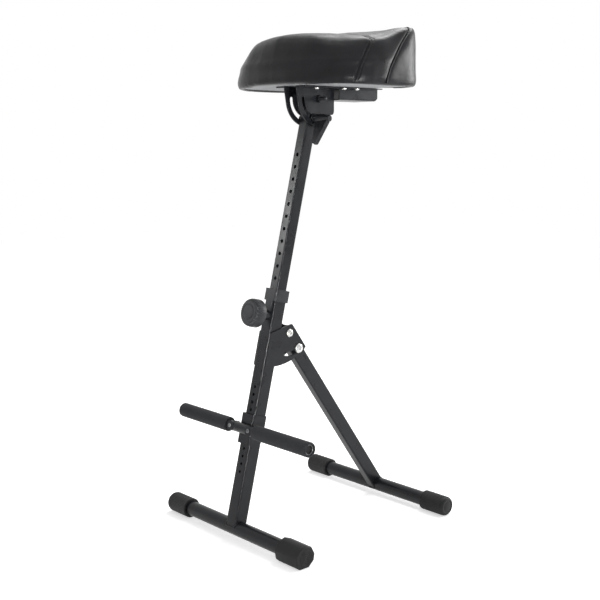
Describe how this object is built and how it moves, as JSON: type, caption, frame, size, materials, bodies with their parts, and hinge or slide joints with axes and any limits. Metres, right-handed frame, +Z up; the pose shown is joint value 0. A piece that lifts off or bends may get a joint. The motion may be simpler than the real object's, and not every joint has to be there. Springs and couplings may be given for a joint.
{
  "type": "folding sit-stand stool",
  "caption": "Folding sit-stand stool: leaning square post on foot bars, telescoping height lock, tilting padded seat, folding leg, sliding footrest with folding pegs.",
  "frame": {"origin": "on the floor, under the middle of the stool's bounding box", "axes": "+Z up; the sitter faces -Y; X runs along the foot bars, with left and right as seen from the front"},
  "size_m": [0.4166, 0.447, 0.9975],
  "materials": {
    "powder_coat": "satin",
    "zinc_plate": "satin",
    "nylon": "matte",
    "rubber": "matte",
    "foam_rubber": "matte",
    "knob_plastic": "satin",
    "lever_metal": "satin",
    "plywood": "matte",
    "leatherette": "satin"
  },
  "bodies": {
    "base": {"front_foot_bar": "powder_coat", "front_foot_cap_left": "rubber", "lower_post_tube": "powder_coat", "post_collar": "nylon", "pin_housing": "powder_coat", "pin_spring": "zinc_plate", "hinge_cheek_left": "powder_coat", "hinge_cheek_right": "powder_coat", "hinge_pivot_bolt": "zinc_plate", "hinge_pivot_nut": "zinc_plate", "hinge_spacer_left": "nylon", "hinge_spacer_right": "nylon"},
    "leveller": {"levelling_cap": "rubber"},
    "rear_leg": {"rear_leg_tube": "powder_coat", "rear_foot_bar": "powder_coat", "rear_foot_cap_left": "rubber", "rear_foot_cap_right": "rubber", "guide_bolt": "zinc_plate", "guide_nut": "zinc_plate", "guide_spacer_left": "nylon", "guide_spacer_right": "nylon"},
    "plunger": {"lock_pin": "zinc_plate"},
    "knob": {"height_knob": "knob_plastic", "knob_cover": "knob_plastic"},
    "upper_post": {"upper_tube": "powder_coat", "upper_tube_guide": "nylon", "upper_tube_cap": "nylon", "tilt_pivot_bolt": "powder_coat", "tilt_pivot_nut": "powder_coat", "pivot_washer_left": "nylon", "pivot_washer_right": "nylon", "clamp_spacer_left": "nylon", "clamp_spacer_right": "nylon", "clamp_washer": "powder_coat", "tilt_clamp_bolt": "powder_coat"},
    "lever": {"tilt_lever": "lever_metal"},
    "seat": {"tilt_plate_left": "powder_coat", "tilt_plate_right": "powder_coat", "seat_channel": "powder_coat", "seat_board": "plywood", "seat_cushion": "leatherette", "seat_screw_1": "zinc_plate", "seat_screw_2": "zinc_plate", "seat_screw_3": "zinc_plate", "seat_screw_4": "zinc_plate", "seat_screw_5": "zinc_plate", "seat_screw_6": "zinc_plate"},
    "rest_carrier": {"footrest_back_pin": "zinc_plate"},
    "footrest": {"footrest_bracket": "powder_coat", "footrest_tube": "powder_coat", "footrest_screw_left": "zinc_plate", "footrest_screw_right": "zinc_plate"},
    "peg_left": {"footrest_peg_left": "powder_coat", "footrest_sleeve_left": "foam_rubber", "footrest_plug_left": "rubber"},
    "peg_right": {"footrest_peg_right": "powder_coat", "footrest_sleeve_right": "foam_rubber", "footrest_plug_right": "rubber"}
  },
  "joints": [
    {"name": "rear_leg_fold", "type": "hinge", "parent": "base", "child": "rear_leg", "pos_m": [0, -0.07087, 0.39884], "axis": [-1, 0, 0], "range_deg": [0, 49.5]},
    {"name": "leveller_turn", "type": "hinge", "parent": "base", "child": "leveller", "pos_m": [0.177, -0.19879, 0.01975], "axis": [1, 0, 0], "continuous": true},
    {"name": "height_slide", "type": "slide", "parent": "base", "child": "upper_post", "axis": [0, 0.2368, 0.9715], "range_m": [-0.3, 0]},
    {"name": "height_pin_pull", "type": "slide", "parent": "base", "child": "plunger", "axis": [0, 0.9715, -0.2368], "range_m": [0, 0.007]},
    {"name": "height_knob_turn", "type": "hinge", "parent": "plunger", "child": "knob", "pos_m": [0, -0.0979, 0.43363], "axis": [0, -0.9715, 0.2368], "range_deg": [0, 90]},
    {"name": "tilt_lever_turn", "type": "hinge", "parent": "upper_post", "child": "lever", "pos_m": [0.04, -0.00316, 0.82225], "axis": [1, 0, 0], "range_deg": [0, 85]},
    {"name": "seat_tilt", "type": "hinge", "parent": "upper_post", "child": "seat", "pos_m": [0, 0.00631, 0.86111], "axis": [1, 0, 0], "range_deg": [0, 76]},
    {"name": "footrest_slide", "type": "slide", "parent": "base", "child": "rest_carrier", "axis": [0, 0.2368, 0.9715], "range_m": [-0.062, 0.062]},
    {"name": "footrest_tilt", "type": "hinge", "parent": "rest_carrier", "child": "footrest", "pos_m": [0, -0.13708, 0.20027], "axis": [-1, 0, 0], "range_deg": [0, 2.8]},
    {"name": "peg_left_fold", "type": "hinge", "parent": "footrest", "child": "peg_left", "pos_m": [-0.0285, -0.17813, 0.21851], "axis": [0, 0.9715, -0.2368], "range_deg": [0, 80]},
    {"name": "peg_right_fold", "type": "hinge", "parent": "footrest", "child": "peg_right", "pos_m": [0.0285, -0.17813, 0.21851], "axis": [0, -0.9715, 0.2368], "range_deg": [0, 80]}
  ]
}
